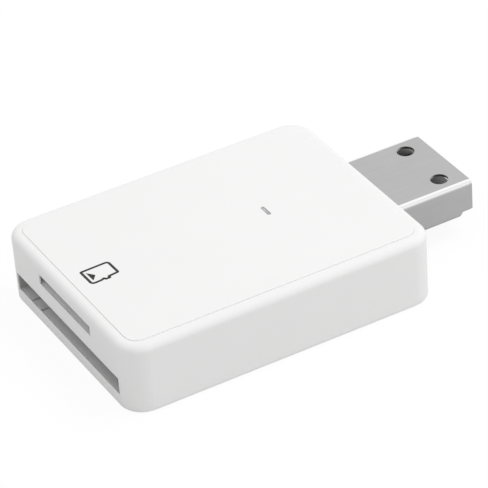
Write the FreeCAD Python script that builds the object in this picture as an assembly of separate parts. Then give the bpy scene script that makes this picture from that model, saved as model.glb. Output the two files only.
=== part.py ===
import FreeCAD, Part
import math
import os

# A pocket memory card reader: a white tub and an inset cover round one circuit board, which carries
# an SD socket below, a microSD socket above and a standard USB plug at the far end.
# Millimetres. X runs across the slots, Y from the slot face to the plug's tip, Z up from the underside.
# While a piece is made, Y is counted from the slot face, and the whole part is centred when it is saved.

# Card slots, as they open in the slot face
sd_slot_width = 24.3
sd_slot_height = 2.2
microsd_slot_width = 12.15
microsd_slot_height = 1.33
slot_lip = 0.18             # wall left standing in front of each socket's mouth
slot_edge_radius = 0.12
mouth_gap = 0.05            # socket mouth to the lip

# Case
wall = 1.6                  # at the underside, where the draft leaves it thinnest
floor_thickness = 1.1
draft_angle = 0.3           # degrees, each wall leaning out towards the rim
corner_radius = 3.0         # upright corners, at the rim
cavity_radius = 1.2
rim_radius = 0.92           # rounding of the rim's outer edge
base_radius = 0.5           # rounding round the underside
socket_rib_height = 0.4     # ribs on the floor that carry the SD socket
socket_rib_width = 0.8
socket_rib_count = 3
socket_rib_spacing = 9.0
socket_gap = 0.4            # SD socket to the side walls
board_gap = 0.3             # circuit board to the side and slot walls

# Cover
cover_thickness = 1.1
cover_inset = 1.33          # outer edge of the case to the middle of the joint line
cover_gap = 0.02            # open width of the joint line
cover_proud = 0.08          # height of the cover above the rim
cover_edge_radius = 0.06
cover_headroom = 0.39       # microSD socket to the underside of the cover
skirt_thickness = 0.7
skirt_depth = 1.6
skirt_gap = 0.15
skirt_setback = 6.0         # end of a skirt to the slot wall or the plug wall
catch_length = 4.0
catch_reach = 0.35
catch_height = 0.6
catch_gap = 0.1

# Board posts, rear pair
post_radius = 1.3
post_pin_radius = 0.6
post_pin_height = 0.5       # above the board
post_gap = 0.1
post_setback = 3.6          # rear of the SD socket to the posts
post_edge = 2.6             # posts to the side walls

# Lamp
lamp_length = 1.9           # the window, across the cover
lamp_width = 0.5
lamp_y = 26.0
lamp_gap = 0.04
lamp_sunk = 0.2             # top of the light pipe below the cover
pipe_flange_margin = 0.6
pipe_flange_height = 0.5
led_length = 1.6
led_width = 0.8
led_height = 0.6
led_base_height = 0.3       # below its lens
led_lens_length = 1.1
led_lens_width = 0.7
led_gap = 0.2               # light pipe to the lamp

# SD socket
sd_rail = 0.5
sd_sheet = 0.2
sd_roof = 0.55
sd_roof_gap = 0.05          # slot to the roof, so that a card slides below it
sd_socket_length = 26.0
sd_rear_wall = 1.0
sd_window_margin = 2.4
sd_contact_count = 9
sd_contact_margin = 2.2     # slot's end to the middle of the outermost contact
sd_contact_width = 0.8
sd_contact_reach = 5.4
sd_contact_dip = 0.45
sd_finger_near = 3.0        # slits beside the sheet's card spring, from the slot's end
sd_finger_far = 5.25
sd_finger_near_slit = 0.5
sd_finger_far_slit = 0.3
sd_finger_length = 7.0
sd_leaf_width = 2.4         # card springs punched further in
sd_leaf_length = 6.0
sd_leaf_slit = 0.3
sd_leaf_spacing = 11.0
sd_switch_edge = 0.5
sd_switch_reach = 3.4

# microSD socket
microsd_base = 0.65
microsd_sheet = 0.15
microsd_roof_gap = 0.05
microsd_guide_step = 0.5    # slot's end to the face of the rail
microsd_rail = 1.1
microsd_lead_in = 2.6       # slot lip to the rails
microsd_socket_length = 15.4
microsd_rear_wall = 0.9
microsd_contact_count = 8
microsd_contact_margin = 1.8   # rail to the middle of the outermost contact
microsd_contact_width = 0.5
microsd_contact_reach = 4.6
microsd_contact_rise = 0.45
microsd_switch_edge = 0.45
microsd_switch_reach = 2.2

# Contact springs of both sockets
spring_thickness = 0.12
spring_fit = 0.02
tail_length = 0.8
tail_standoff = 0.3

# Circuit board
board_thickness = 0.8
board_corner = 0.8

# USB plug
plug_width = 12.1
plug_height = 4.6
plug_sheet = 0.3
plug_radius = 0.62
plug_drop = 0.1             # middle of the plug below the middle of the board
plug_reach = 10.53          # beyond the case
plug_inside = 6.6           # within the case
plug_opening_gap = 0.1
plug_nose_length = 1.38     # stepped end
plug_nose_step = 0.8        # underside of the stepped end above the plug's underside
plug_ramp = 0.5             # length of the slope up to it
plug_taper_length = 0.5
plug_taper = 0.08
plug_hole_radius = 1.05
plug_hole_spacing = 7.2
plug_hole_setback = 2.93    # from the tip
plug_seam = 0.06            # open width of the folded sheet's joint, along the underside
plug_leg_length = 2.6
plug_leg_overhang = 0.5     # legs above and below the board
plug_leg_gap = 0.1
plug_board_gap = 0.1
tongue_thickness = 1.95
tongue_gap = 0.1
tongue_setback = 0.25       # behind the tip
tongue_block = 4.6          # full-height rear of the insulator
plug_contact_thickness = 0.2
plug_contact_width = 1.1
plug_contact_inner = 1.0    # from the middle
plug_contact_outer = 3.5
plug_contact_setback = 1.4  # outer pair, behind the tip
plug_contact_stagger = 1.0  # inner pair, further behind
plug_contact_tail = 2.0
plug_contact_riser = 0.3    # rear face of the insulator to the bend

# Parts on top of the board
room_behind_sd = 11.35      # SD socket to the plug wall
chip_length = 8.2
chip_width = 5.3
chip_height = 1.5
chip_standoff = 0.1
chip_edge = 0.25
chip_led_gap = 0.7          # lamp to the chip's leads
chip_tail_gap = 1.8         # chip to the plug's contact tails
lead_count = 12             # on each side
lead_pitch = 0.65
lead_width = 0.3
lead_thickness = 0.15
lead_reach = 1.25
lead_foot = 0.6
crystal_length = 5.0
crystal_width = 3.2
crystal_height = 1.1
crystal_radius = 0.6
crystal_edge = 0.2
crystal_setback = 6.0       # board's edge to the middle of the can
crystal_chip_offset = 2.0   # crystal's middle ahead of the chip's middle
small_part_length = 1.6
small_part_width = 0.8
capacitor_height = 0.8
resistor_height = 0.45
small_part_end = 0.3
small_part_end_rise = 0.04
small_part_pitch = 2.2
capacitor_columns = 4
resistor_columns = 3
small_part_setback = 2.4    # board's edge to the middle of the first part

# Heights, from the underside up
sd_sheet_z = floor_thickness + socket_rib_height
sd_floor_z = sd_sheet_z + sd_sheet
sd_top_z = sd_floor_z + sd_slot_height
sd_roof_z = sd_top_z + sd_roof_gap
board_z = sd_roof_z + sd_roof
board_top_z = board_z + board_thickness
microsd_floor_z = board_top_z + microsd_base
microsd_top_z = microsd_floor_z + microsd_slot_height
microsd_roof_z = microsd_top_z + microsd_roof_gap
microsd_shell_z = microsd_roof_z + microsd_sheet
cover_z = microsd_shell_z + cover_headroom
body_height = cover_z + cover_thickness
rim_z = body_height - cover_proud

# Widths, from the SD card outwards
sd_rail_half = sd_slot_width / 2 + sd_rail
sd_half = sd_rail_half + sd_sheet
cavity_half = sd_half + socket_gap
draft_slope = math.tan(math.radians(draft_angle))
base_inset = rim_z * draft_slope
rim_lean = rim_radius * (draft_slope + math.hypot(1, draft_slope) - 1)   # taken off the rim by its rounding
body_width = 2 * (cavity_half + wall + base_inset)
board_half = cavity_half - board_gap
sd_contact_pitch = (sd_slot_width - 2 * sd_contact_margin) / (sd_contact_count - 1)
microsd_guide_width = microsd_slot_width - 2 * microsd_guide_step
microsd_contact_pitch = (microsd_guide_width - 2 * microsd_contact_margin) / (microsd_contact_count - 1)
chip_x = led_length / 2 + chip_led_gap + lead_reach + chip_width / 2
crystal_x = crystal_setback - board_half
small_part_x = small_part_setback - board_half
microsd_rail_half = microsd_guide_width / 2 + microsd_rail
microsd_half = microsd_rail_half + microsd_sheet

# Lengths, from the slot face to the tip
mouth_y = base_inset + slot_lip
socket_y = mouth_y + mouth_gap
cavity_y = base_inset + wall
sd_rear_y = socket_y + sd_socket_length
microsd_rear_y = socket_y + microsd_socket_length
cavity_rear_y = sd_rear_y + room_behind_sd
body_length = cavity_rear_y + wall + base_inset
tip_y = body_length + plug_reach
plug_rear_y = body_length - plug_inside
board_y = cavity_y + board_gap
board_rear_y = plug_rear_y - plug_board_gap
post_y = sd_rear_y + post_setback
post_x = cavity_half - post_edge
middle_y = (rim_lean + tip_y) / 2

# Plug heights
plug_middle_z = board_z + board_thickness / 2 - plug_drop
plug_z = plug_middle_z - plug_height / 2
plug_top_z = plug_z + plug_height
tongue_top_z = plug_z + plug_sheet + tongue_thickness
plug_nose_z = plug_z + plug_nose_step

closed_gap = 1e-6           # points nearer than this are one point
ahead_x = FreeCAD.Vector(1, 0, 0)
ahead_y = FreeCAD.Vector(0, 1, 0)
ahead_z = FreeCAD.Vector(0, 0, 1)


def block(x0, x1, y0, y1, z0, z1):
    return Part.makeBox(x1 - x0, y1 - y0, z1 - z0, FreeCAD.Vector(x0, y0, z0))


def rounded_wire(middle, across, along, width, length, radius):
    half_width = width / 2 - radius
    half_length = length / 2 - radius
    arcs = []
    for quarter in range(4):
        start = quarter * math.pi / 2
        s = half_width if quarter in (0, 3) else -half_width
        t = half_length if quarter < 2 else -half_length
        bend = []
        for turn in (start, start + math.pi / 4, start + math.pi / 2):
            out_across = s + radius * math.cos(turn)
            out_along = t + radius * math.sin(turn)
            bend.append(middle + across * out_across + along * out_along)
        arcs.append(Part.Arc(*bend).toShape())
    edges = []
    for quarter in range(4):
        here = arcs[quarter].lastVertex().Point
        there = arcs[(quarter + 1) % 4].firstVertex().Point
        edges.append(arcs[quarter])
        if here.distanceToPoint(there) > closed_gap:
            edges.append(Part.makeLine(here, there))
    return Part.Wire(edges)


def upright_wire(width, y0, y1, radius, z):
    middle = FreeCAD.Vector(0, (y0 + y1) / 2, z)
    return rounded_wire(middle, ahead_x, ahead_y, width, y1 - y0, radius)


def upright_plate(width, y0, y1, radius, z0, z1):
    face = Part.Face(upright_wire(width, y0, y1, radius, z0))
    return face.extrude(ahead_z * (z1 - z0))


def plug_wire(width, z0, z1, radius, y):
    middle = FreeCAD.Vector(0, y, (z0 + z1) / 2)
    return rounded_wire(middle, ahead_z, ahead_x, z1 - z0, width, radius)


def plug_bar(width, z0, z1, radius, y0, y1):
    face = Part.Face(plug_wire(width, z0, z1, radius, y0))
    return face.extrude(ahead_y * (y1 - y0))


def slot_shape(x, y, length, width, z0, z1):
    # an upright bar with round ends, lying across the cover
    middle = FreeCAD.Vector(x, y, z0)
    face = Part.Face(rounded_wire(middle, ahead_x, ahead_y, length, width, width / 2))
    return face.extrude(ahead_z * (z1 - z0))


def bent_strip(path, thickness, place, sweep):
    # path is the middle line of the strip's section, and place turns its points into space
    one_side = []
    other_side = []
    for index, point in enumerate(path):
        before = path[max(index - 1, 0)]
        after = path[min(index + 1, len(path) - 1)]
        come = (point[0] - before[0], point[1] - before[1])
        go = (after[0] - point[0], after[1] - point[1])
        if index == 0:
            come = go
        if index == len(path) - 1:
            go = come
        come_length = math.hypot(*come)
        go_length = math.hypot(*go)
        normal = (-come[1] / come_length - go[1] / go_length, come[0] / come_length + go[0] / go_length)
        scale = thickness / (normal[0] ** 2 + normal[1] ** 2)
        one_side.append(place(point[0] + normal[0] * scale, point[1] + normal[1] * scale))
        other_side.append(place(point[0] - normal[0] * scale, point[1] - normal[1] * scale))
    outline = one_side + other_side[::-1]
    face = Part.Face(Part.makePolygon(outline + outline[:1]))
    return face.extrude(sweep)


def strip_along_y(path, thickness, width, x):
    def place(y, z):
        return FreeCAD.Vector(x - width / 2, y, z)
    return bent_strip(path, thickness, place, ahead_x * width)


def strip_along_x(path, thickness, width, y):
    def place(x, z):
        return FreeCAD.Vector(x, y - width / 2, z)
    return bent_strip(path, thickness, place, ahead_y * width)


def row(count, pitch):
    return [(index - (count - 1) / 2) * pitch for index in range(count)]


def fuse(shapes):
    return shapes[0].multiFuse(shapes[1:]).removeSplitter()


def edges_at_height(shape, z):
    found = []
    for edge in shape.Edges:
        box = edge.BoundBox
        if abs(box.ZMin - z) < closed_gap and abs(box.ZMax - z) < closed_gap:
            found.append(edge)
    return found


# Case

def case_outline():
    base = upright_wire(body_width - 2 * base_inset, base_inset, body_length - base_inset,
                        corner_radius - base_inset, 0)
    rim = upright_wire(body_width, 0, body_length, corner_radius, rim_z)
    solid = Part.makeLoft([base, rim], True, True)
    solid = solid.makeFillet(rim_radius, edges_at_height(solid, rim_z))
    return solid.makeFillet(base_radius, edges_at_height(solid, 0))


def cover_pocket():
    inset = cover_inset - cover_gap / 2
    return upright_plate(body_width - 2 * inset, inset, body_length - inset,
                         corner_radius - inset, cover_z, body_height)


def socket_mouths():
    # recesses behind the lip, one round each socket's mouth, run in past the cavity's round corners
    rear = cavity_y + cavity_radius
    recesses = []
    for half, z0, z1 in ((sd_half, sd_sheet_z, board_z), (microsd_half, board_top_z, microsd_shell_z)):
        side = half + mouth_gap
        recesses.append(block(-side, side, mouth_y, rear, z0 - mouth_gap, z1 + mouth_gap))
    return recesses


def slot_openings():
    openings = []
    for width, z0, z1 in ((sd_slot_width, sd_floor_z, sd_top_z),
                          (microsd_slot_width, microsd_floor_z, microsd_top_z)):
        openings.append(block(-width / 2, width / 2, -wall, cavity_y, z0, z1))
    return openings


def catch_places():
    skirt_y0 = cavity_y + skirt_setback
    skirt_y1 = cavity_rear_y - skirt_setback
    quarter = (skirt_y1 - skirt_y0) / 4
    return [skirt_y0 + quarter, skirt_y1 - quarter]


def catch_pockets():
    half = catch_length / 2 + catch_gap
    top = cover_z - skirt_depth + catch_height + 2 * catch_gap
    bottom = cover_z - skirt_depth - catch_gap
    pockets = []
    for y in catch_places():
        for side in (-1, 1):
            x = [side * (cavity_half - catch_gap), side * (cavity_half - skirt_gap + catch_reach + catch_gap)]
            pockets.append(block(min(x), max(x), y - half, y + half, bottom, top))
    return pockets


def floor_ribs():
    ribs = []
    half = socket_rib_width / 2
    for x in row(socket_rib_count, socket_rib_spacing):
        ribs.append(block(x - half, x + half, cavity_y - wall / 2, sd_rear_y,
                          floor_thickness / 2, sd_sheet_z))
    return ribs


def board_posts():
    posts = []
    for side in (-1, 1):
        foot = FreeCAD.Vector(side * post_x, post_y, floor_thickness / 2)
        posts.append(Part.makeCylinder(post_radius, board_z - foot.z, foot))
        posts.append(Part.makeCylinder(post_pin_radius, board_top_z + post_pin_height - foot.z, foot))
    return posts


def slot_edges(shape):
    # the edges of both slots that lie in the slot face
    found = []
    for edge in shape.Edges:
        box = edge.BoundBox
        in_face = box.YMax < base_inset + closed_gap
        in_slot = box.XMax < sd_slot_width / 2 + closed_gap and box.XMin > -sd_slot_width / 2 - closed_gap
        off_rim = box.ZMin > base_radius + closed_gap and box.ZMax < rim_z - rim_radius - closed_gap
        if in_face and in_slot and off_rim:
            found.append(edge)
    return found


def housing():
    shell = case_outline()
    cavity = upright_plate(2 * cavity_half, cavity_y, cavity_rear_y, cavity_radius,
                           floor_thickness, body_height)
    shell = shell.cut(cavity)
    shell = fuse([shell] + floor_ribs() + board_posts())
    plug_opening = plug_bar(plug_width + 2 * plug_opening_gap, plug_z - plug_opening_gap,
                            plug_top_z + plug_opening_gap, plug_radius + plug_opening_gap,
                            cavity_rear_y - wall / 2, body_length + wall)
    cutters = [cover_pocket(), plug_opening] + socket_mouths() + slot_openings() + catch_pockets()
    shell = shell.cut(cutters)
    return shell.makeFillet(slot_edge_radius, slot_edges(shell))


def top_cover():
    inset = cover_inset + cover_gap / 2
    plate = upright_plate(body_width - 2 * inset, inset, body_length - inset,
                          corner_radius - inset, cover_z, body_height)
    plate = plate.makeFillet(cover_edge_radius, edges_at_height(plate, body_height))
    pieces = [plate]
    skirt_z = cover_z - skirt_depth
    outer = cavity_half - skirt_gap
    for side in (-1, 1):
        x = sorted([side * outer, side * (outer - skirt_thickness)])
        pieces.append(block(x[0], x[1], cavity_y + skirt_setback, cavity_rear_y - skirt_setback,
                            skirt_z, cover_z + cover_thickness / 2))
        for y in catch_places():
            corners = [(outer - skirt_thickness / 2, skirt_z), (outer, skirt_z),
                       (outer + catch_reach, skirt_z + catch_height),
                       (outer - skirt_thickness / 2, skirt_z + catch_height)]
            outline = [FreeCAD.Vector(side * cx, y - catch_length / 2, cz) for cx, cz in corners]
            wedge = Part.Face(Part.makePolygon(outline + outline[:1]))
            pieces.append(wedge.extrude(ahead_y * catch_length))
        top = FreeCAD.Vector(side * post_x, post_y, board_top_z)
        pieces.append(Part.makeCylinder(post_radius, cover_z + cover_thickness / 2 - top.z, top))
    cover = fuse(pieces)
    holes = [slot_shape(0, lamp_y, lamp_length, lamp_width,
                        cover_z - cover_thickness, body_height + cover_thickness)]
    for side in (-1, 1):
        foot = FreeCAD.Vector(side * post_x, post_y, board_top_z - post_pin_height)
        holes.append(Part.makeCylinder(post_pin_radius + post_gap, 2 * post_pin_height + post_gap, foot))
    return cover.cut(holes)


# Lamp

def light_pipe():
    led_top_z = board_top_z + led_height
    window = slot_shape(0, lamp_y, lamp_length - 2 * lamp_gap, lamp_width - 2 * lamp_gap,
                        led_top_z + led_gap, body_height - lamp_sunk)
    flange = slot_shape(0, lamp_y, lamp_length + 2 * pipe_flange_margin, lamp_width + 2 * pipe_flange_margin,
                        cover_z - pipe_flange_height, cover_z)
    return fuse([window, flange])


def status_led():
    body = block(-led_length / 2, led_length / 2, lamp_y - led_width / 2, lamp_y + led_width / 2,
                 board_top_z, board_top_z + led_base_height)
    lens = slot_shape(0, lamp_y, led_lens_length, led_lens_width, board_top_z + led_base_height / 2,
                      board_top_z + led_height)
    return fuse([body, lens])


# SD socket

def sd_contact_path():
    z = sd_roof_z - spring_thickness - spring_fit
    tail_z = board_z - spring_thickness / 2
    return [(sd_rear_y + tail_standoff + tail_length, tail_z),
            (sd_rear_y + tail_standoff, tail_z),
            (sd_rear_y + tail_standoff, z),
            (sd_rear_y - sd_rear_wall, z),
            (sd_rear_y - sd_contact_reach, z - sd_contact_dip),
            (sd_rear_y - sd_contact_reach - tail_length, z)]


def sd_switch_path():
    z = (sd_floor_z + sd_top_z) / 2
    tail_z = board_z - spring_thickness / 2
    return [(sd_rear_y + tail_standoff + tail_length, tail_z),
            (sd_rear_y + tail_standoff, tail_z),
            (sd_rear_y + tail_standoff, z),
            (sd_rear_y - sd_switch_reach, z),
            (sd_rear_y - sd_switch_reach - tail_length, z + tail_standoff)]


def sd_switch_x():
    edge = sd_slot_width / 2 - sd_switch_edge
    return [-edge, edge]


def sd_contacts():
    places = row(sd_contact_count, sd_contact_pitch)
    return [strip_along_y(sd_contact_path(), spring_thickness, sd_contact_width, x) for x in places]


def sd_switch_springs():
    width = sd_switch_edge
    return [strip_along_y(sd_switch_path(), spring_thickness, width, x) for x in sd_switch_x()]


def rear_wall_slit(x, width, z, y, thickness):
    half = width / 2 + spring_fit
    high = spring_thickness / 2 + spring_fit
    return block(x - half, x + half, y - 2 * thickness, y + thickness, z - high, z + high)


def sd_socket_frame():
    outer = block(-sd_rail_half, sd_rail_half, socket_y, sd_rear_y, sd_floor_z, board_z)
    half = sd_slot_width / 2
    card = block(-half, half, socket_y - wall, sd_rear_y - sd_rear_wall, sd_floor_z, sd_roof_z)
    window_y1 = sd_rear_y - sd_rear_wall - sd_contact_reach - tail_length
    window = block(-half + sd_window_margin, half - sd_window_margin, socket_y + 2 * sd_window_margin,
                   window_y1 - sd_window_margin, sd_roof_z - sd_roof, board_z + sd_roof)
    cutters = [card, window]
    for x in row(sd_contact_count, sd_contact_pitch):
        cutters.append(rear_wall_slit(x, sd_contact_width, sd_contact_path()[2][1], sd_rear_y, sd_rear_wall))
    for x in sd_switch_x():
        cutters.append(rear_wall_slit(x, sd_switch_edge, sd_switch_path()[2][1], sd_rear_y, sd_rear_wall))
    return outer.cut(cutters)


def sd_socket_shell():
    floor_sheet = block(-sd_half, sd_half, socket_y, sd_rear_y, sd_sheet_z, sd_floor_z)
    sides = []
    for side in (-1, 1):
        x = sorted([side * sd_rail_half, side * sd_half])
        sides.append(block(x[0], x[1], socket_y, sd_rear_y, sd_sheet_z, board_z))
    shell = fuse([floor_sheet] + sides)
    below = sd_sheet_z - sd_sheet
    above = sd_floor_z + sd_sheet
    slits = []
    for inset, width in ((sd_finger_near, sd_finger_near_slit), (sd_finger_far, sd_finger_far_slit)):
        x = inset - sd_slot_width / 2
        slits.append(block(x - width / 2, x + width / 2, socket_y - sd_sheet, socket_y + sd_finger_length,
                           below, above))
    leaf_y0 = sd_rear_y - sd_contact_reach - sd_leaf_length
    leaf_y1 = leaf_y0 + sd_leaf_length
    for x in row(2, sd_leaf_spacing):
        half = sd_leaf_width / 2
        outer = block(x - half, x + half, leaf_y0, leaf_y1, below, above)
        leaf_half = half - sd_leaf_slit
        leaf = block(x - leaf_half, x + leaf_half, leaf_y0 + sd_leaf_slit, leaf_y1, below, above)
        slits.append(outer.cut(leaf))
    return shell.cut(slits)


# microSD socket

def microsd_contact_path():
    z = microsd_floor_z + spring_thickness / 2 + spring_fit
    tail_z = board_top_z + spring_thickness / 2
    return [(microsd_rear_y + tail_standoff + tail_length, tail_z),
            (microsd_rear_y + tail_standoff, tail_z),
            (microsd_rear_y + tail_standoff, z),
            (microsd_rear_y - microsd_rear_wall, z),
            (microsd_rear_y - microsd_contact_reach, z + microsd_contact_rise),
            (microsd_rear_y - microsd_contact_reach - tail_length, z + spring_fit)]


def microsd_switch_path():
    z = (microsd_floor_z + microsd_top_z) / 2
    tail_z = board_top_z + spring_thickness / 2
    return [(microsd_rear_y + tail_standoff + tail_length, tail_z),
            (microsd_rear_y + tail_standoff, tail_z),
            (microsd_rear_y + tail_standoff, z),
            (microsd_rear_y - microsd_switch_reach, z),
            (microsd_rear_y - microsd_switch_reach - tail_length, z + tail_standoff)]


def microsd_switch_x():
    return microsd_guide_width / 2 - microsd_switch_edge


def microsd_contacts():
    places = row(microsd_contact_count, microsd_contact_pitch)
    return [strip_along_y(microsd_contact_path(), spring_thickness, microsd_contact_width, x) for x in places]


def microsd_switch_spring():
    return strip_along_y(microsd_switch_path(), spring_thickness, microsd_switch_edge, microsd_switch_x())


def microsd_socket_frame():
    half = microsd_rail_half
    guide = microsd_guide_width / 2
    rail_y = mouth_y + microsd_lead_in
    root_z = microsd_floor_z - microsd_base / 2
    pieces = [block(-half, half, socket_y, microsd_rear_y, board_top_z, microsd_floor_z)]
    for side in (-1, 1):
        x = sorted([side * guide, side * half])
        pieces.append(block(x[0], x[1], rail_y, microsd_rear_y, root_z, microsd_roof_z))
    pieces.append(block(-half, half, microsd_rear_y - microsd_rear_wall, microsd_rear_y,
                        root_z, microsd_roof_z))
    frame = fuse(pieces)
    slits = []
    for x in row(microsd_contact_count, microsd_contact_pitch):
        slits.append(rear_wall_slit(x, microsd_contact_width, microsd_contact_path()[2][1],
                                    microsd_rear_y, microsd_rear_wall))
    slits.append(rear_wall_slit(microsd_switch_x(), microsd_switch_edge, microsd_switch_path()[2][1],
                                microsd_rear_y, microsd_rear_wall))
    return frame.cut(slits)


def microsd_socket_shell():
    pieces = [block(-microsd_half, microsd_half, socket_y, microsd_rear_y, microsd_roof_z, microsd_shell_z)]
    for side in (-1, 1):
        x = sorted([side * microsd_rail_half, side * microsd_half])
        pieces.append(block(x[0], x[1], socket_y, microsd_rear_y, board_top_z, microsd_shell_z))
    return fuse(pieces)


# Circuit board and what is soldered to it

def circuit_board():
    board = upright_plate(2 * board_half, board_y, board_rear_y, board_corner, board_z, board_top_z)
    below = board_z - board_thickness
    above = board_top_z + board_thickness
    cutters = []
    leg_y = plug_rear_y - plug_leg_length - plug_leg_gap
    for side in (-1, 1):
        inner = plug_width / 2 - plug_sheet - plug_leg_gap
        outer = plug_width / 2 + plug_leg_gap
        x = sorted([side * inner, side * outer])
        cutters.append(block(x[0], x[1], leg_y, plug_rear_y, below, above))
        foot = FreeCAD.Vector(side * post_x, post_y, below)
        cutters.append(Part.makeCylinder(post_pin_radius + post_gap, above - below, foot))
    return board.cut(cutters)


def chip_middle_y():
    return board_rear_y - plug_contact_tail - chip_tail_gap - chip_length / 2


def controller_chip():
    z0 = board_top_z + chip_standoff
    z1 = z0 + chip_height

    def level(inset, z):
        corner = FreeCAD.Vector(chip_x - chip_width / 2 + inset, chip_middle_y() - chip_length / 2 + inset, z)
        return Part.makePlane(chip_width - 2 * inset, chip_length - 2 * inset, corner).OuterWire

    waist = level(0, (z0 + z1) / 2)
    return fuse([Part.makeLoft([waist, level(chip_edge, z)], True, True) for z in (z0, z1)])


def controller_leads():
    root_z = board_top_z + chip_standoff + chip_height / 2
    foot_z = board_top_z + lead_thickness / 2
    leads = []
    for side in (-1, 1):
        root = chip_width / 2
        path = [(root, root_z), (root + lead_reach - lead_foot - lead_thickness, root_z),
                (root + lead_reach - lead_foot, foot_z), (root + lead_reach, foot_z)]
        path = [(chip_x + side * s, z) for s, z in path]
        for y in row(lead_count, lead_pitch):
            leads.append(strip_along_x(path, lead_thickness, lead_width, chip_middle_y() + y))
    return leads


def crystal_can():
    y = chip_middle_y() - crystal_chip_offset
    middle = FreeCAD.Vector(crystal_x, y, board_top_z)
    can = Part.Face(rounded_wire(middle, ahead_x, ahead_y, crystal_length, crystal_width, crystal_radius))
    can = can.extrude(ahead_z * crystal_height)
    return can.makeChamfer(crystal_edge, edges_at_height(can, board_top_z + crystal_height))


def small_part(x, y, height):
    # a chip component: its ceramic body between two plated ends
    half_length = small_part_length / 2
    half_width = small_part_width / 2
    rise = small_part_end_rise
    body = block(x - half_length, x + half_length, y - half_width + rise, y + half_width - rise,
                 board_top_z + rise, board_top_z + height - rise)
    pieces = [body]
    for side in (-1, 1):
        reach = sorted([x + side * half_length, x + side * (half_length - small_part_end)])
        pieces.append(block(reach[0], reach[1], y - half_width, y + half_width,
                            board_top_z, board_top_z + height))
    return fuse(pieces)


def chip_capacitors():
    y = chip_middle_y() + crystal_width / 2
    return [small_part(small_part_x + column * small_part_pitch, y, capacitor_height)
            for column in range(capacitor_columns)]


def chip_resistors():
    y = chip_middle_y() + crystal_width / 2 + 2 * small_part_width
    return [small_part(small_part_x + (column + 1) * small_part_pitch, y, resistor_height)
            for column in range(resistor_columns)]


# USB plug

def plug_form(inset):
    # the plug's outer form, or the hollow inside it when inset is the sheet's thickness
    width = plug_width - 2 * inset
    radius = plug_radius - inset
    z0 = plug_z + inset
    z1 = plug_top_z - inset
    taper_y = tip_y - plug_taper_length
    barrel = plug_bar(width, z0, z1, radius, plug_rear_y, taper_y)
    wide = plug_wire(width, z0, z1, radius, taper_y)
    narrow = plug_wire(width - 2 * plug_taper, z0, z1 - plug_taper / 2, radius, tip_y)
    form = fuse([barrel, Part.makeLoft([wide, narrow], True, True)])
    nose_z0 = plug_nose_z + inset
    step_y = tip_y - plug_nose_length - inset
    below = plug_z - plug_nose_step
    beyond = tip_y + plug_nose_length
    corners = [(step_y - plug_ramp, below), (step_y - plug_ramp, z0), (step_y, nose_z0), (beyond, nose_z0),
               (beyond, below)]
    outline = [FreeCAD.Vector(-plug_width, y, z) for y, z in corners]
    step = Part.Face(Part.makePolygon(outline + outline[:1]))
    return form.cut(step.extrude(ahead_x * 2 * plug_width))


def usb_shell():
    shell = plug_form(0)
    legs = []
    for side in (-1, 1):
        x = sorted([side * (plug_width / 2 - plug_sheet), side * plug_width / 2])
        legs.append(block(x[0], x[1], plug_rear_y - plug_leg_length, plug_rear_y + plug_sheet,
                          board_z - plug_leg_overhang, board_top_z + plug_leg_overhang))
    shell = shell.cut(plug_form(plug_sheet))
    shell = fuse([shell] + legs)
    holes = []
    for side in (-1, 1):
        foot = FreeCAD.Vector(side * plug_hole_spacing / 2, tip_y - plug_hole_setback, plug_z - plug_sheet)
        holes.append(Part.makeCylinder(plug_hole_radius, plug_height + 2 * plug_sheet, foot))
    seam = block(-plug_seam / 2, plug_seam / 2, plug_rear_y - plug_sheet, tip_y + plug_sheet,
                 plug_z - plug_sheet, plug_nose_z + 2 * plug_sheet)
    return shell.cut(holes + [seam])


def usb_contact_places():
    return [(-plug_contact_outer, 0), (-plug_contact_inner, plug_contact_stagger),
            (plug_contact_inner, plug_contact_stagger), (plug_contact_outer, 0)]


def usb_contacts():
    strips = []
    for x, stagger in usb_contact_places():
        tail_z = board_top_z + plug_contact_thickness / 2
        path = [(tip_y - plug_contact_setback - stagger, tongue_top_z),
                (plug_rear_y + plug_contact_riser, tongue_top_z),
                (plug_rear_y + plug_contact_riser, tail_z),
                (board_rear_y - plug_contact_tail, tail_z)]
        strips.append(strip_along_y(path, plug_contact_thickness, plug_contact_width, x))
    return strips


def usb_insulator():
    half = plug_width / 2 - max(plug_radius, plug_sheet + tongue_gap)
    z0 = plug_z + plug_sheet
    tongue_y = tip_y - plug_nose_length - plug_sheet - plug_ramp - tongue_gap
    tongue = block(-half, half, plug_rear_y, tongue_y, z0, tongue_top_z)
    nose_half = half - plug_taper
    nose = block(-nose_half, nose_half, tongue_y - tongue_gap, tip_y - tongue_setback,
                 plug_nose_z + plug_sheet + tongue_gap, tongue_top_z)
    rear = block(-half, half, plug_rear_y, plug_rear_y + tongue_block,
                 z0, plug_top_z - plug_sheet - tongue_gap)
    insulator = fuse([tongue, nose, rear])
    front = [edge for edge in insulator.Edges if edge.BoundBox.YMin > tip_y - tongue_setback - closed_gap]
    insulator = insulator.makeChamfer(tongue_gap, front)
    return insulator.cut(usb_contacts())


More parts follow.
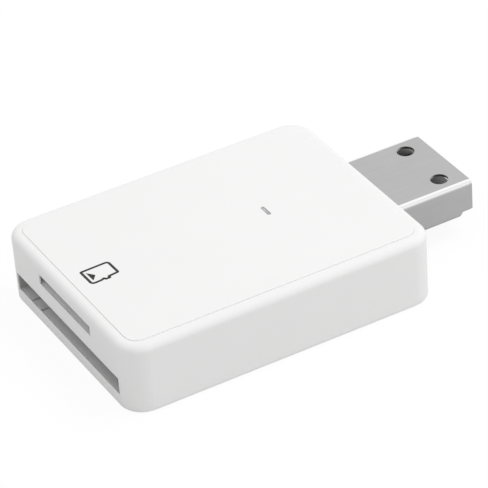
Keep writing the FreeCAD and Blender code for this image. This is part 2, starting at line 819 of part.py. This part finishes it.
nodes = {
    "housing": housing(),
    "top_cover": top_cover(),
    "light_pipe": light_pipe(),
    "circuit_board": circuit_board(),
    "status_led": status_led(),
    "controller_chip": controller_chip(),
    "controller_leads": Part.makeCompound(controller_leads()),
    "crystal_can": crystal_can(),
    "chip_capacitors": Part.makeCompound(chip_capacitors()),
    "chip_resistors": Part.makeCompound(chip_resistors()),
    "sd_socket_frame": sd_socket_frame(),
    "sd_socket_shell": sd_socket_shell(),
    "sd_contacts": Part.makeCompound(sd_contacts()),
    "sd_switch_springs": Part.makeCompound(sd_switch_springs()),
    "microsd_socket_frame": microsd_socket_frame(),
    "microsd_socket_shell": microsd_socket_shell(),
    "microsd_contacts": Part.makeCompound(microsd_contacts()),
    "microsd_switch_spring": microsd_switch_spring(),
    "usb_shell": usb_shell(),
    "usb_insulator": usb_insulator(),
    "usb_contacts": Part.makeCompound(usb_contacts()),
}

os.makedirs("parts", exist_ok=True)
for name, shape in nodes.items():
    shape.translate(FreeCAD.Vector(0, -middle_y, 0))
    shape.exportStep("parts/" + name + ".step")
    print(name, len(shape.Solids), "solids", round(shape.Volume, 3), "mm3", shape.isValid())
print("case", round(body_width, 3), round(body_length, 3), round(body_height, 3), "tip at", round(tip_y, 3))
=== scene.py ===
import math
import bmesh
import bpy
from mathutils import Matrix, Vector


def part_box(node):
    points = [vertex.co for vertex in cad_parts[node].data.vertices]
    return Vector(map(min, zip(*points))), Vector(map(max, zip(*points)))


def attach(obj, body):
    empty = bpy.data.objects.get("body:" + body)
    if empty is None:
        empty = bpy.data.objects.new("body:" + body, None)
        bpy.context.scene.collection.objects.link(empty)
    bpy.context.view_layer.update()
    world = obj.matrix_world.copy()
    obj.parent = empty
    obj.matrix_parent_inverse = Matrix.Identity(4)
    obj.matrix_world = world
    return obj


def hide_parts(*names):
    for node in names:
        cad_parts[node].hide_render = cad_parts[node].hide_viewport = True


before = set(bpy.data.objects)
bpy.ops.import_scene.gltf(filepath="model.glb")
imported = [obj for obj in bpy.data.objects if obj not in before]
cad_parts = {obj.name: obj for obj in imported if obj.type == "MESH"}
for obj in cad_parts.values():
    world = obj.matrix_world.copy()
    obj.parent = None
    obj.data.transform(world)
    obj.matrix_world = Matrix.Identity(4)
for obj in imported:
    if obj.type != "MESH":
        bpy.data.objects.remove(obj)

mm = 0.001
scene = bpy.context.scene
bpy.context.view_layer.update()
print("frame loaded:", len(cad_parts), "nodes")

# camera, at the angle of the photograph, lengths in mm and angles in degrees
camera = {
    "azimuth": 62.460,
    "elevation": 34.527,
    "roll": -4.430,
    "distance": 373.147,
    "aim": (-7.247, 1.785, 0.0),
    "lens": 236.996,
    "sensor": 36.0,
    "nearest": 10.0,
    "farthest": 20000.0,
}


def placeCamera(look):
    turn = math.radians(look["azimuth"])
    lift = math.radians(look["elevation"])
    roll = math.radians(look["roll"])
    back = Vector((math.sin(turn) * math.cos(lift), -math.cos(turn) * math.cos(lift), math.sin(lift)))
    level = Vector((math.cos(turn), math.sin(turn), 0.0))
    upright = back.cross(level)
    side = level * math.cos(roll) + upright * math.sin(roll)
    up = upright * math.cos(roll) - level * math.sin(roll)
    place = (Vector(look["aim"]) + back * look["distance"]) * mm
    lens = bpy.data.cameras.new("photoCamera")
    lens.lens = look["lens"]
    lens.sensor_width = look["sensor"]
    lens.clip_start = look["nearest"] * mm
    lens.clip_end = look["farthest"] * mm
    holder = bpy.data.objects.new("photoCamera", lens)
    axes = Matrix((side, up, back)).transposed().to_4x4()
    holder.matrix_world = Matrix.Translation(place) @ axes
    scene.collection.objects.link(holder)
    scene.camera = holder


placeCamera(camera)
print("camera placed")


# node helpers
def addNode(tree, kind, **values):
    node = tree.nodes.new(kind)
    for key, value in values.items():
        setattr(node, key, value)
    return node


def join(tree, source, target):
    tree.links.new(source, target)


def emptyTree(holder):
    holder.use_nodes = True
    holder.node_tree.nodes.clear()
    return holder.node_tree


def mathNode(tree, operation, first, second=None, clamp=False):
    node = addNode(tree, "ShaderNodeMath", operation=operation, use_clamp=clamp)
    for index, value in enumerate((first, second)):
        if value is None:
            continue
        if isinstance(value, (int, float)):
            node.inputs[index].default_value = value
        else:
            join(tree, value, node.inputs[index])
    return node.outputs[0]


# a mask as a value from low to high
def spread(tree, mask, low, high):
    node = addNode(tree, "ShaderNodeMapRange")
    join(tree, mask, node.inputs["Value"])
    node.inputs["To Min"].default_value = low
    node.inputs["To Max"].default_value = high
    return node.outputs["Result"]


# the places of a Mix node's colour sockets
mixSockets = {"first": 6, "second": 7, "result": 2}


def blendColours(tree, mask, first, second):
    node = addNode(tree, "ShaderNodeMix", data_type="RGBA")
    join(tree, mask, node.inputs[0])
    for key, value in (("first", first), ("second", second)):
        socket = node.inputs[mixSockets[key]]
        if isinstance(value, tuple):
            socket.default_value = (*value, 1.0)
        else:
            join(tree, value, socket)
    return node.outputs[mixSockets["result"]]


def objectPlace(tree):
    return addNode(tree, "ShaderNodeTexCoord").outputs["Object"]


def splitPlace(tree, place):
    parts = addNode(tree, "ShaderNodeSeparateXYZ")
    join(tree, place, parts.inputs[0])
    return parts.outputs


# shared effects, with the detail of the noise in each mask
noiseDetail = {"Grain": 2.0, "Cloud": 3.0, "Streak": 4.0}
rolledScales = ("Across Scale", "Along Scale", "Cloud Scale")


def startGroup(name, scales, masks):
    tree = bpy.data.node_groups.new(name, "ShaderNodeTree")
    tree.interface.new_socket("Vector", in_out="INPUT", socket_type="NodeSocketVector")
    for scale in scales:
        tree.interface.new_socket(scale, in_out="INPUT", socket_type="NodeSocketFloat")
    for mask in masks:
        tree.interface.new_socket(mask, in_out="OUTPUT", socket_type="NodeSocketFloat")
    return tree, addNode(tree, "NodeGroupInput").outputs, addNode(tree, "NodeGroupOutput").inputs


def addNoise(tree, mask, vector, made):
    noise = addNode(tree, "ShaderNodeTexNoise")
    noise.inputs["Detail"].default_value = noiseDetail[mask]
    join(tree, vector, noise.inputs["Vector"])
    join(tree, noise.outputs[0], made[mask])
    return noise.inputs["Scale"]


# mouldGrain: the fine spark-eroded skin of a moulding and its slow unevenness
def makeMouldGrain():
    tree, given, made = startGroup("mouldGrain", ("Grain Scale", "Cloud Scale"), ("Grain", "Cloud"))
    for mask in ("Grain", "Cloud"):
        join(tree, given[mask + " Scale"], addNoise(tree, mask, given["Vector"], made))
    return tree


# rolledMarks: streaks that the rolls leave along a strip of sheet metal
def makeRolledMarks():
    tree, given, made = startGroup("rolledMarks", rolledScales, ("Streak", "Cloud"))
    stretch = addNode(tree, "ShaderNodeCombineXYZ")
    for axis, scale in enumerate(("Across Scale", "Along Scale", "Across Scale")):
        join(tree, given[scale], stretch.inputs[axis])
    drawn = addNode(tree, "ShaderNodeVectorMath", operation="MULTIPLY")
    join(tree, given["Vector"], drawn.inputs[0])
    join(tree, stretch.outputs[0], drawn.inputs[1])
    addNoise(tree, "Streak", drawn.outputs[0], made).default_value = 1.0
    join(tree, given["Cloud Scale"], addNoise(tree, "Cloud", given["Vector"], made))
    return tree


mouldGrain = makeMouldGrain()
rolledMarks = makeRolledMarks()


def startMaterial(name):
    material = bpy.data.materials.new(name)
    tree = emptyTree(material)
    shader = addNode(tree, "ShaderNodeBsdfPrincipled")
    end = addNode(tree, "ShaderNodeOutputMaterial")
    join(tree, shader.outputs[0], end.inputs["Surface"])
    return material, tree, shader


def placeGrain(tree, place, look):
    grain = addNode(tree, "ShaderNodeGroup", node_tree=mouldGrain)
    grain.inputs["Grain Scale"].default_value = look["grainScale"]
    grain.inputs["Cloud Scale"].default_value = look["cloudScale"]
    join(tree, place, grain.inputs["Vector"])
    return grain.outputs


# roughness that varies with one mask, and a bump that follows another
def texture(tree, shader, look, uneven, height):
    join(tree, spread(tree, uneven, look["roughLow"], look["roughHigh"]), shader.inputs["Roughness"])
    bump = addNode(tree, "ShaderNodeBump")
    bump.inputs["Strength"].default_value = look["bump"]
    bump.inputs["Distance"].default_value = look["bumpDepth"] * mm
    join(tree, height, bump.inputs["Height"])
    join(tree, bump.outputs[0], shader.inputs["Normal"])


def mouldedPlastic(name, look):
    material, tree, shader = startMaterial(name)
    grain = placeGrain(tree, objectPlace(tree), look)
    join(tree, blendColours(tree, grain["Cloud"], look["light"], look["dark"]), shader.inputs["Base Color"])
    texture(tree, shader, look, grain["Cloud"], grain["Grain"])
    return material


# a painted highlight along the two upper bends of a shell, standing in for a lamp's reflection
def paintedBendHighlight(tree, place, bends):
    low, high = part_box(bends["node"])
    middle = (low + high) / 2
    core = (high - low) / 2 - Vector((1, 1, 1)) * bends["radius"] * mm
    parts = splitPlace(tree, place)
    sideways = mathNode(tree, "ABSOLUTE", mathNode(tree, "SUBTRACT", parts[0], middle.x))
    across = mathNode(tree, "SUBTRACT", sideways, core.x)
    upward = mathNode(tree, "SUBTRACT", parts[2], middle.z + core.z)
    fromTop = mathNode(tree, "DIVIDE", across, bends["topFade"] * mm, clamp=True)
    pastSide = mathNode(tree, "SUBTRACT", upward, bends["sideStart"] * mm)
    fromSide = mathNode(tree, "DIVIDE", pastSide, bends["sideFade"] * mm, clamp=True)
    bend = mathNode(tree, "MULTIPLY", fromTop, fromSide)
    # the painted highlight dims along the crest, leaving a bright painted line on either side
    roundBend = mathNode(tree, "SUBTRACT", across, upward)
    pastCrest = mathNode(tree, "SUBTRACT", roundBend, bends["crestShift"] * mm)
    fromCrest = mathNode(tree, "ABSOLUTE", pastCrest)
    crest = mathNode(tree, "DIVIDE", fromCrest, bends["crestWidth"] * mm, clamp=True)
    return mathNode(tree, "MULTIPLY", bend, spread(tree, crest, bends["crestShine"], 1.0))


streakGain = 2.0  # brings the product of two masks back to their range


def rolledMetal(name, look):
    material, tree, shader = startMaterial(name)
    place = objectPlace(tree)
    marks = addNode(tree, "ShaderNodeGroup", node_tree=rolledMarks)
    for scale in rolledScales:
        marks.inputs[scale].default_value = look[scale]
    join(tree, place, marks.inputs["Vector"])
    streak = marks.outputs["Streak"]
    mask = mathNode(tree, "MULTIPLY", streak, marks.outputs["Cloud"])
    mask = mathNode(tree, "MULTIPLY", mask, streakGain, clamp=True)
    colour = blendColours(tree, mask, look["light"], look["dark"])
    # where a look has bends, a painted highlight is laid over them
    if "bends" in look:
        bright = look["bends"]["paintedHighlight"]
        colour = blendColours(tree, paintedBendHighlight(tree, place, look["bends"]), colour, bright)
    join(tree, colour, shader.inputs["Base Color"])
    shader.inputs["Metallic"].default_value = 1.0
    texture(tree, shader, look, streak, streak)
    return material


# finishes: scales per metre, bump depths and bends in mm
whitePlastic = mouldedPlastic("whitePlastic", {
    "light": (0.885, 0.885, 0.882), "dark": (0.865, 0.865, 0.862),
    "roughLow": 0.50, "roughHigh": 0.58,
    "grainScale": 7000.0, "cloudScale": 130.0, "bump": 0.12, "bumpDepth": 0.01,
})
greyPlastic = mouldedPlastic("greyPlastic", {
    "light": (0.90, 0.90, 0.90), "dark": (0.86, 0.86, 0.86),
    "roughLow": 0.42, "roughHigh": 0.55,
    "grainScale": 6000.0, "cloudScale": 300.0, "bump": 0.15, "bumpDepth": 0.01,
})
framePlastic = mouldedPlastic("framePlastic", {
    "light": (0.46, 0.46, 0.45), "dark": (0.40, 0.40, 0.39),
    "roughLow": 0.5, "roughHigh": 0.6,
    "grainScale": 6000.0, "cloudScale": 300.0, "bump": 0.12, "bumpDepth": 0.01,
})
blackResin = mouldedPlastic("blackResin", {
    "light": (0.030, 0.030, 0.032), "dark": (0.018, 0.018, 0.020),
    "roughLow": 0.45, "roughHigh": 0.62,
    "grainScale": 9000.0, "cloudScale": 400.0, "bump": 0.25, "bumpDepth": 0.015,
})
plugPlastic = mouldedPlastic("plugPlastic", {
    "light": (0.130, 0.130, 0.132), "dark": (0.105, 0.105, 0.107),
    "roughLow": 0.38, "roughHigh": 0.5,
    "grainScale": 6500.0, "cloudScale": 300.0, "bump": 0.15, "bumpDepth": 0.01,
})
plugSteel = rolledMetal("plugSteel", {
    "light": (0.52, 0.52, 0.52), "dark": (0.47, 0.47, 0.47),
    # painted highlight on the upper bends, with a duller painted line along the crest
    "bends": {
        "node": "usb_shell", "radius": 0.62, "paintedHighlight": (0.97, 0.97, 0.97), "topFade": 0.08,
        "sideStart": 0.15, "sideFade": 0.26, "crestShift": -0.08, "crestWidth": 0.16, "crestShine": 0.52,
    },
    "roughLow": 0.30, "roughHigh": 0.40, "bump": 0.05, "bumpDepth": 0.004,
    "Across Scale": 5000.0, "Along Scale": 160.0, "Cloud Scale": 220.0,
})
socketSteel = rolledMetal("socketSteel", {
    "light": (0.76, 0.76, 0.76), "dark": (0.70, 0.70, 0.70),
    "roughLow": 0.85, "roughHigh": 0.95, "bump": 0.06, "bumpDepth": 0.004,
    "Across Scale": 4200.0, "Along Scale": 140.0, "Cloud Scale": 260.0,
})
tinnedLead = rolledMetal("tinnedLead", {
    "light": (0.62, 0.62, 0.63), "dark": (0.50, 0.50, 0.51),
    "roughLow": 0.22, "roughHigh": 0.4, "bump": 0.1, "bumpDepth": 0.006,
    "Across Scale": 2600.0, "Along Scale": 1900.0, "Cloud Scale": 700.0,
})
goldSpring = rolledMetal("goldSpring", {
    "light": (0.83, 0.62, 0.27), "dark": (0.70, 0.50, 0.20),
    "roughLow": 0.2, "roughHigh": 0.32, "bump": 0.05, "bumpDepth": 0.004,
    "Across Scale": 5200.0, "Along Scale": 260.0, "Cloud Scale": 500.0,
})
ledResin = mouldedPlastic("ledResin", {
    "light": (0.80, 0.74, 0.42), "dark": (0.70, 0.64, 0.34),
    "roughLow": 0.18, "roughHigh": 0.3,
    "grainScale": 6000.0, "cloudScale": 900.0, "bump": 0.06, "bumpDepth": 0.01,
})
darkInk = mouldedPlastic("darkInk", {
    "light": (0.018, 0.018, 0.018), "dark": (0.012, 0.012, 0.012),
    "roughLow": 0.5, "roughHigh": 0.65,
    "grainScale": 9000.0, "cloudScale": 900.0, "bump": 0.1, "bumpDepth": 0.004,
})


# boardLaminate: green solder mask over copper tracks
def makeBoardLaminate(look):
    material, tree, shader = startMaterial("boardLaminate")
    place = objectPlace(tree)
    tracks = addNode(tree, "ShaderNodeTexBrick", offset=look["trackStagger"])
    tracks.inputs["Scale"].default_value = look["trackScale"]
    tracks.inputs["Mortar Size"].default_value = look["trackGap"]
    tracks.inputs["Color1"].default_value = (1, 1, 1, 1)
    tracks.inputs["Color2"].default_value = (1, 1, 1, 1)
    tracks.inputs["Mortar"].default_value = (0, 0, 0, 1)
    join(tree, place, tracks.inputs["Vector"])
    grain = placeGrain(tree, place, look)
    copper = blendColours(tree, tracks.outputs["Color"], look["bare"], look["overCopper"])
    uneven = mathNode(tree, "MULTIPLY", grain["Cloud"], look["unevenness"], clamp=True)
    join(tree, blendColours(tree, uneven, copper, look["bare"]), shader.inputs["Base Color"])
    texture(tree, shader, look, grain["Cloud"], tracks.outputs["Fac"])
    return material


boardLaminate = makeBoardLaminate({
    "bare": (0.010, 0.085, 0.030), "overCopper": (0.020, 0.150, 0.055), "unevenness": 0.5,
    "trackScale": 420.0, "trackGap": 0.06, "trackStagger": 0.5,
    "roughLow": 0.22, "roughHigh": 0.34,
    "grainScale": 5000.0, "cloudScale": 200.0, "bump": 0.3, "bumpDepth": 0.02,
})


# chips: a body between two plated ends, repeated along X
def makeChip(name, look):
    material, tree, shader = startMaterial(name)
    place = objectPlace(tree)
    along = mathNode(tree, "SUBTRACT", splitPlace(tree, place)[0], look["firstMiddle"] * mm)
    along = mathNode(tree, "DIVIDE", along, look["pitch"] * mm)
    nearest = mathNode(tree, "SUBTRACT", along, mathNode(tree, "ROUND", along))
    away = mathNode(tree, "ABSOLUTE", nearest)
    plated = mathNode(tree, "GREATER_THAN", away, look["bodyHalf"] / look["pitch"])
    grain = placeGrain(tree, place, look)
    body = blendColours(tree, grain["Cloud"], look["light"], look["dark"])
    join(tree, blendColours(tree, plated, body, look["tin"]), shader.inputs["Base Color"])
    join(tree, plated, shader.inputs["Metallic"])
    texture(tree, shader, look, grain["Cloud"], grain["Grain"])
    return material


chip = {
    "firstMiddle": -10.55, "pitch": 2.2, "bodyHalf": 0.5, "tin": (0.62, 0.62, 0.63),
    "roughLow": 0.25, "roughHigh": 0.45,
    "grainScale": 7000.0, "cloudScale": 900.0, "bump": 0.15, "bumpDepth": 0.01,
}
ceramicChip = makeChip("ceramicChip", {
    **chip, "light": (0.36, 0.22, 0.12), "dark": (0.28, 0.17, 0.09),
})
resistorChip = makeChip("resistorChip", {
    **chip, "light": (0.025, 0.025, 0.028), "dark": (0.015, 0.015, 0.018),
})


# smokeLens: the grey light pipe under the lamp's slot, with painted shade, darkest along its -Y side and
# paling towards +Y
def makeSmokeLens(look):
    material, tree, shader = startMaterial("smokeLens")
    place = objectPlace(tree)
    low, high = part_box("light_pipe")
    parts = splitPlace(tree, place)
    slanted = mathNode(tree, "MULTIPLY", parts[0], look["slant"])
    across = mathNode(tree, "SUBTRACT", parts[1], slanted)
    across = mathNode(tree, "SUBTRACT", across, (low.y + high.y - look["windowWidth"] * mm) / 2)
    across = mathNode(tree, "DIVIDE", across, look["windowWidth"] * mm, clamp=True)
    grain = placeGrain(tree, place, look)
    # painted shade across the window: dark on the -Y side, pale on the +Y side
    join(tree, blendColours(tree, across, look["shadeSide"], look["far"]), shader.inputs["Base Color"])
    shader.inputs["Coat Weight"].default_value = look["coat"]
    texture(tree, shader, look, grain["Cloud"], grain["Grain"])
    return material


smokeLens = makeSmokeLens({
    # the dark colour is painted shade, the pale one the painted lit side
    "shadeSide": (0.09, 0.09, 0.09), "far": (0.74, 0.74, 0.74), "windowWidth": 0.50, "slant": 0.12,
    "roughLow": 0.2, "roughHigh": 0.3, "coat": 0.3,
    "grainScale": 5000.0, "cloudScale": 800.0, "bump": 0.08, "bumpDepth": 0.01,
})
print("finishes made:", len(bpy.data.materials))

finishes = {
    "housing": whitePlastic, "top_cover": whitePlastic, "light_pipe": smokeLens,
    "circuit_board": boardLaminate, "status_led": ledResin,
    "controller_chip": blackResin, "controller_leads": tinnedLead, "crystal_can": tinnedLead,
    "chip_capacitors": ceramicChip, "chip_resistors": resistorChip,
    "sd_socket_frame": framePlastic, "sd_socket_shell": socketSteel,
    "sd_contacts": goldSpring, "sd_switch_springs": goldSpring,
    "microsd_socket_frame": greyPlastic, "microsd_socket_shell": socketSteel,
    "microsd_contacts": goldSpring, "microsd_switch_spring": goldSpring,
    "usb_shell": plugSteel, "usb_insulator": plugPlastic, "usb_contacts": goldSpring,
}
for nodeName, finish in finishes.items():
    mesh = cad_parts[nodeName].data
    mesh.materials.clear()
    mesh.materials.append(finish)
print("nodes finished:", len(finishes))


def addPiece(name, mesh):
    piece = bpy.data.objects.new(name, mesh)
    scene.collection.objects.link(piece)
    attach(piece, "root")
    return piece


# a plain mesh of what the modifiers of a passing object give
def bakeMesh(name, mesh, addModifier):
    raw = bpy.data.objects.new(name + "Raw", mesh)
    scene.collection.objects.link(raw)
    addModifier(raw)
    evaluated = raw.evaluated_get(bpy.context.evaluated_depsgraph_get())
    finished = bpy.data.meshes.new_from_object(evaluated)
    finished.name = name
    bpy.data.objects.remove(raw)
    return finished


# skins: the curved nodes again, with even shading over their rounded edges
skins = {
    "caseTub": {"node": "housing", "slot": "white_plastic"},
    "caseCover": {"node": "top_cover", "slot": "white_plastic"},
    "lampPipe": {"node": "light_pipe", "slot": "smoke_lens"},
    "plugShell": {"node": "usb_shell", "slot": "plug_steel"},
}
skinning = {"sharpAngle": 32.0, "mergeWithin": 0.0005}


def evenNormals(raw):
    evener = raw.modifiers.new("evenNormals", "WEIGHTED_NORMAL")
    evener.keep_sharp = True


def evenSkin(name, source):
    mesh = source.data.copy()
    mesh.name = name
    if "custom_normal" in mesh.attributes:
        mesh.attributes.remove(mesh.attributes["custom_normal"])
    work = bmesh.new()
    work.from_mesh(mesh)
    bmesh.ops.remove_doubles(work, verts=work.verts, dist=skinning["mergeWithin"] * mm)
    limit = math.radians(skinning["sharpAngle"])
    for face in work.faces:
        face.smooth = True
    for edge in work.edges:
        edge.smooth = edge.is_manifold and edge.calc_face_angle(math.pi) < limit
    work.to_mesh(mesh)
    work.free()
    return bakeMesh(name, mesh, evenNormals)


for name, skin in skins.items():
    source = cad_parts[skin["node"]]
    piece = addPiece(name, evenSkin(name, source))
    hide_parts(skin["node"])
    print("skin", name, len(piece.data.polygons), "faces")

# cardMark: a printed outline of a small card, with an arrow that points into the reader, in mm
# each corner of the outline has its X, its distance from the slot face and its rounding
cardMark = {
    "outline": [
        (-1.38, 3.06, 0.12), (-1.47, 6.50, 0.35), (0.90, 6.56, 0.14), (1.02, 5.33, 0.06), (1.32, 5.32, 0.06),
        (1.32, 4.82, 0.06), (1.07, 4.68, 0.06), (1.24, 4.35, 0.06), (1.30, 3.10, 0.38),
    ],
    "arrow": [(-0.95, 3.47), (0.80, 3.53), (-0.01, 4.20)],
    "slotFace": -24.904,
    "lineWidth": 0.315,
    "inkBelow": 0.004,
    "inkAbove": 0.008,
    "cornerSteps": 8,
    "mergeWithin": 0.00001,
}
inkHeight = cardMark["inkAbove"] + cardMark["inkBelow"]
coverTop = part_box("top_cover")[1].z / mm


def inkPoint(point, height):
    return Vector((point[0], point[1] + cardMark["slotFace"], height)) * mm


def lineTree():
    tree = bpy.data.node_groups.new("printedLine", "GeometryNodeTree")
    tree.interface.new_socket("Geometry", in_out="INPUT", socket_type="NodeSocketGeometry")
    for name in ("Line Width", "Ink Height"):
        tree.interface.new_socket(name, in_out="INPUT", socket_type="NodeSocketFloat")
    tree.interface.new_socket("Corner Steps", in_out="INPUT", socket_type="NodeSocketInt")
    tree.interface.new_socket("Ink", in_out="INPUT", socket_type="NodeSocketMaterial")
    tree.interface.new_socket("Geometry", in_out="OUTPUT", socket_type="NodeSocketGeometry")
    given = addNode(tree, "NodeGroupInput").outputs
    made = addNode(tree, "NodeGroupOutput").inputs
    toCurve = addNode(tree, "GeometryNodeMeshToCurve")
    join(tree, given["Geometry"], toCurve.inputs["Mesh"])
    rounded = addNode(tree, "GeometryNodeFilletCurve", mode="POLY")
    rounded.inputs["Limit Radius"].default_value = True
    join(tree, given["Corner Steps"], rounded.inputs["Count"])
    join(tree, toCurve.outputs["Curve"], rounded.inputs["Curve"])
    turn = addNode(tree, "GeometryNodeInputNamedAttribute", data_type="FLOAT")
    turn.inputs["Name"].default_value = "cornerRound"
    join(tree, turn.outputs["Attribute"], rounded.inputs["Radius"])
    level = addNode(tree, "GeometryNodeSetCurveNormal", mode="Z_UP")
    join(tree, rounded.outputs["Curve"], level.inputs["Curve"])
    profile = addNode(tree, "GeometryNodeCurvePrimitiveQuadrilateral")
    join(tree, given["Line Width"], profile.inputs["Width"])
    join(tree, given["Ink Height"], profile.inputs["Height"])
    swept = addNode(tree, "GeometryNodeCurveToMesh")
    join(tree, level.outputs["Curve"], swept.inputs["Curve"])
    join(tree, profile.outputs["Curve"], swept.inputs["Profile Curve"])
    whole = addNode(tree, "GeometryNodeRealizeInstances")
    join(tree, swept.outputs["Mesh"], whole.inputs["Geometry"])
    inked = addNode(tree, "GeometryNodeSetMaterial")
    join(tree, whole.outputs["Geometry"], inked.inputs["Geometry"])
    join(tree, given["Ink"], inked.inputs["Material"])
    join(tree, inked.outputs["Geometry"], made["Geometry"])
    return tree


def drawLine(raw):
    values = {
        "Line Width": cardMark["lineWidth"] * mm,
        "Ink Height": inkHeight * mm,
        "Corner Steps": cardMark["cornerSteps"],
        "Ink": darkInk,
    }
    tree = lineTree()
    modifier = raw.modifiers.new("printedLine", "NODES")
    modifier.node_group = tree
    for socket in tree.interface.items_tree:
        if socket.in_out == "INPUT" and socket.name in values:
            modifier[socket.identifier] = values[socket.name]


def fixNormals(mesh):
    work = bmesh.new()
    work.from_mesh(mesh)
    bmesh.ops.remove_doubles(work, verts=work.verts, dist=cardMark["mergeWithin"] * mm)
    bmesh.ops.recalc_face_normals(work, faces=work.faces)
    work.to_mesh(mesh)
    work.free()


def printOutline():
    middle = coverTop + (cardMark["inkAbove"] - cardMark["inkBelow"]) / 2
    points = [inkPoint(point, middle) for point in cardMark["outline"]]
    count = len(points)
    path = bpy.data.meshes.new("outlinePath")
    path.from_pydata(points, [(index, (index + 1) % count) for index in range(count)], [])
    rounds = path.attributes.new("cornerRound", "FLOAT", "POINT")
    for index, point in enumerate(cardMark["outline"]):
        rounds.data[index].value = point[2] * mm
    mesh = bakeMesh("cardOutline", path, drawLine)
    fixNormals(mesh)
    return addPiece("cardOutline", mesh)


def printArrow():
    work = bmesh.new()
    low = [work.verts.new(inkPoint(point, coverTop - cardMark["inkBelow"])) for point in cardMark["arrow"]]
    base = work.faces.new(low)
    raised = bmesh.ops.extrude_face_region(work, geom=[base])
    top = [item for item in raised["geom"] if isinstance(item, bmesh.types.BMVert)]
    bmesh.ops.translate(work, verts=top, vec=Vector((0, 0, inkHeight * mm)))
    bmesh.ops.recalc_face_normals(work, faces=work.faces)
    mesh = bpy.data.meshes.new("cardArrow")
    work.to_mesh(mesh)
    work.free()
    mesh.materials.append(darkInk)
    return addPiece("cardArrow", mesh)


printOutline()
printArrow()
print("card mark printed")

# studio: a white sweep, an even sky, a soft box behind and a weak fill beside, lengths in mm
studio = {
    "skyFill": 0.745,
    "floorHalf": 1500.0,
    "floorDrop": 0.02,
    "floorColour": (0.71, 0.71, 0.71),
    "floorWhite": 0.92,
    "floorGloss": 0.22,
    "contactReach": 0.06,
    "softBox": {"at": (78.0, 238.0, 457.0), "size": 260.0, "level": 0.355},
    "sideFill": {"at": (150.0, 120.0, 40.0), "size": 60.0, "level": 0.037},
}


# the rays that see the ground as white, with a share of the mirrored ones
def whiteRays(tree, glossShare):
    path = addNode(tree, "ShaderNodeLightPath")
    mirrored = mathNode(tree, "MULTIPLY", path.outputs["Is Glossy Ray"], glossShare)
    seen = mathNode(tree, "MAXIMUM", path.outputs["Is Camera Ray"], mirrored)
    return mathNode(tree, "MAXIMUM", seen, path.outputs["Is Transmission Ray"])


def makeSky():
    world = bpy.data.worlds.new("studioSky")
    scene.world = world
    tree = emptyTree(world)
    light = addNode(tree, "ShaderNodeBackground")
    light.inputs["Color"].default_value = (1, 1, 1, 1)
    end = addNode(tree, "ShaderNodeOutputWorld")
    more = mathNode(tree, "MULTIPLY", whiteRays(tree, 1.0), 1.0 - studio["skyFill"])
    join(tree, mathNode(tree, "ADD", more, studio["skyFill"]), light.inputs["Strength"])
    join(tree, light.outputs[0], end.inputs["Surface"])


# mixes two shaders by a mask
def mixShaders(tree, mask, first, second):
    node = addNode(tree, "ShaderNodeMixShader")
    join(tree, mask, node.inputs[0])
    join(tree, first.outputs[0], node.inputs[1])
    join(tree, second.outputs[0], node.inputs[2])
    return node


# sweepPaper: white paper that is clear from below, and where the part touches it
def makeSweepPaper():
    material = bpy.data.materials.new("sweepPaper")
    tree = emptyTree(material)
    white = whiteRays(tree, studio["floorGloss"])
    paper = addNode(tree, "ShaderNodeBsdfDiffuse")
    join(tree, blendColours(tree, white, studio["floorColour"], (1.0, 1.0, 1.0)), paper.inputs["Color"])
    glow = addNode(tree, "ShaderNodeEmission")
    glow.inputs["Color"].default_value = (1, 1, 1, 1)
    glow.inputs["Strength"].default_value = 1.0
    lit = mixShaders(tree, mathNode(tree, "MULTIPLY", white, studio["floorWhite"]), paper, glow)
    travel = addNode(tree, "ShaderNodeLightPath").outputs["Ray Length"]
    touching = mathNode(tree, "LESS_THAN", travel, studio["contactReach"] * mm)
    below = addNode(tree, "ShaderNodeNewGeometry").outputs["Backfacing"]
    clear = addNode(tree, "ShaderNodeBsdfTransparent")
    oneSided = mixShaders(tree, mathNode(tree, "MAXIMUM", below, touching), lit, clear)
    end = addNode(tree, "ShaderNodeOutputMaterial")
    join(tree, oneSided.outputs[0], end.inputs["Surface"])
    return material


def makeFloor():
    half = studio["floorHalf"] * mm
    drop = -studio["floorDrop"] * mm
    mesh = bpy.data.meshes.new("sweep")
    corners = [(-half, -half, drop), (half, -half, drop), (half, half, drop), (-half, half, drop)]
    mesh.from_pydata(corners, [], [(0, 1, 2, 3)])
    mesh.materials.append(makeSweepPaper())
    floor = bpy.data.objects.new("sweep", mesh)
    scene.collection.objects.link(floor)


# a lamp that faces the origin, where a level of 1 lights white paper to white
def hangLamp(name, look):
    lamp = bpy.data.lights.new(name, "AREA")
    lamp.shape = "SQUARE"
    lamp.size = look["size"] * mm
    place = Vector(look["at"]) * mm
    lamp.energy = look["level"] * math.pi ** 2 * place.length_squared
    holder = bpy.data.objects.new(name, lamp)
    holder.location = place
    holder.rotation_euler = place.to_track_quat("Z", "Y").to_euler()
    holder.visible_camera = False
    holder.visible_glossy = False
    scene.collection.objects.link(holder)


makeSky()
makeFloor()
hangLamp("softBox", studio["softBox"])
hangLamp("sideFill", studio["sideFill"])
scene.view_settings.view_transform = "Standard"
print("studio lit")
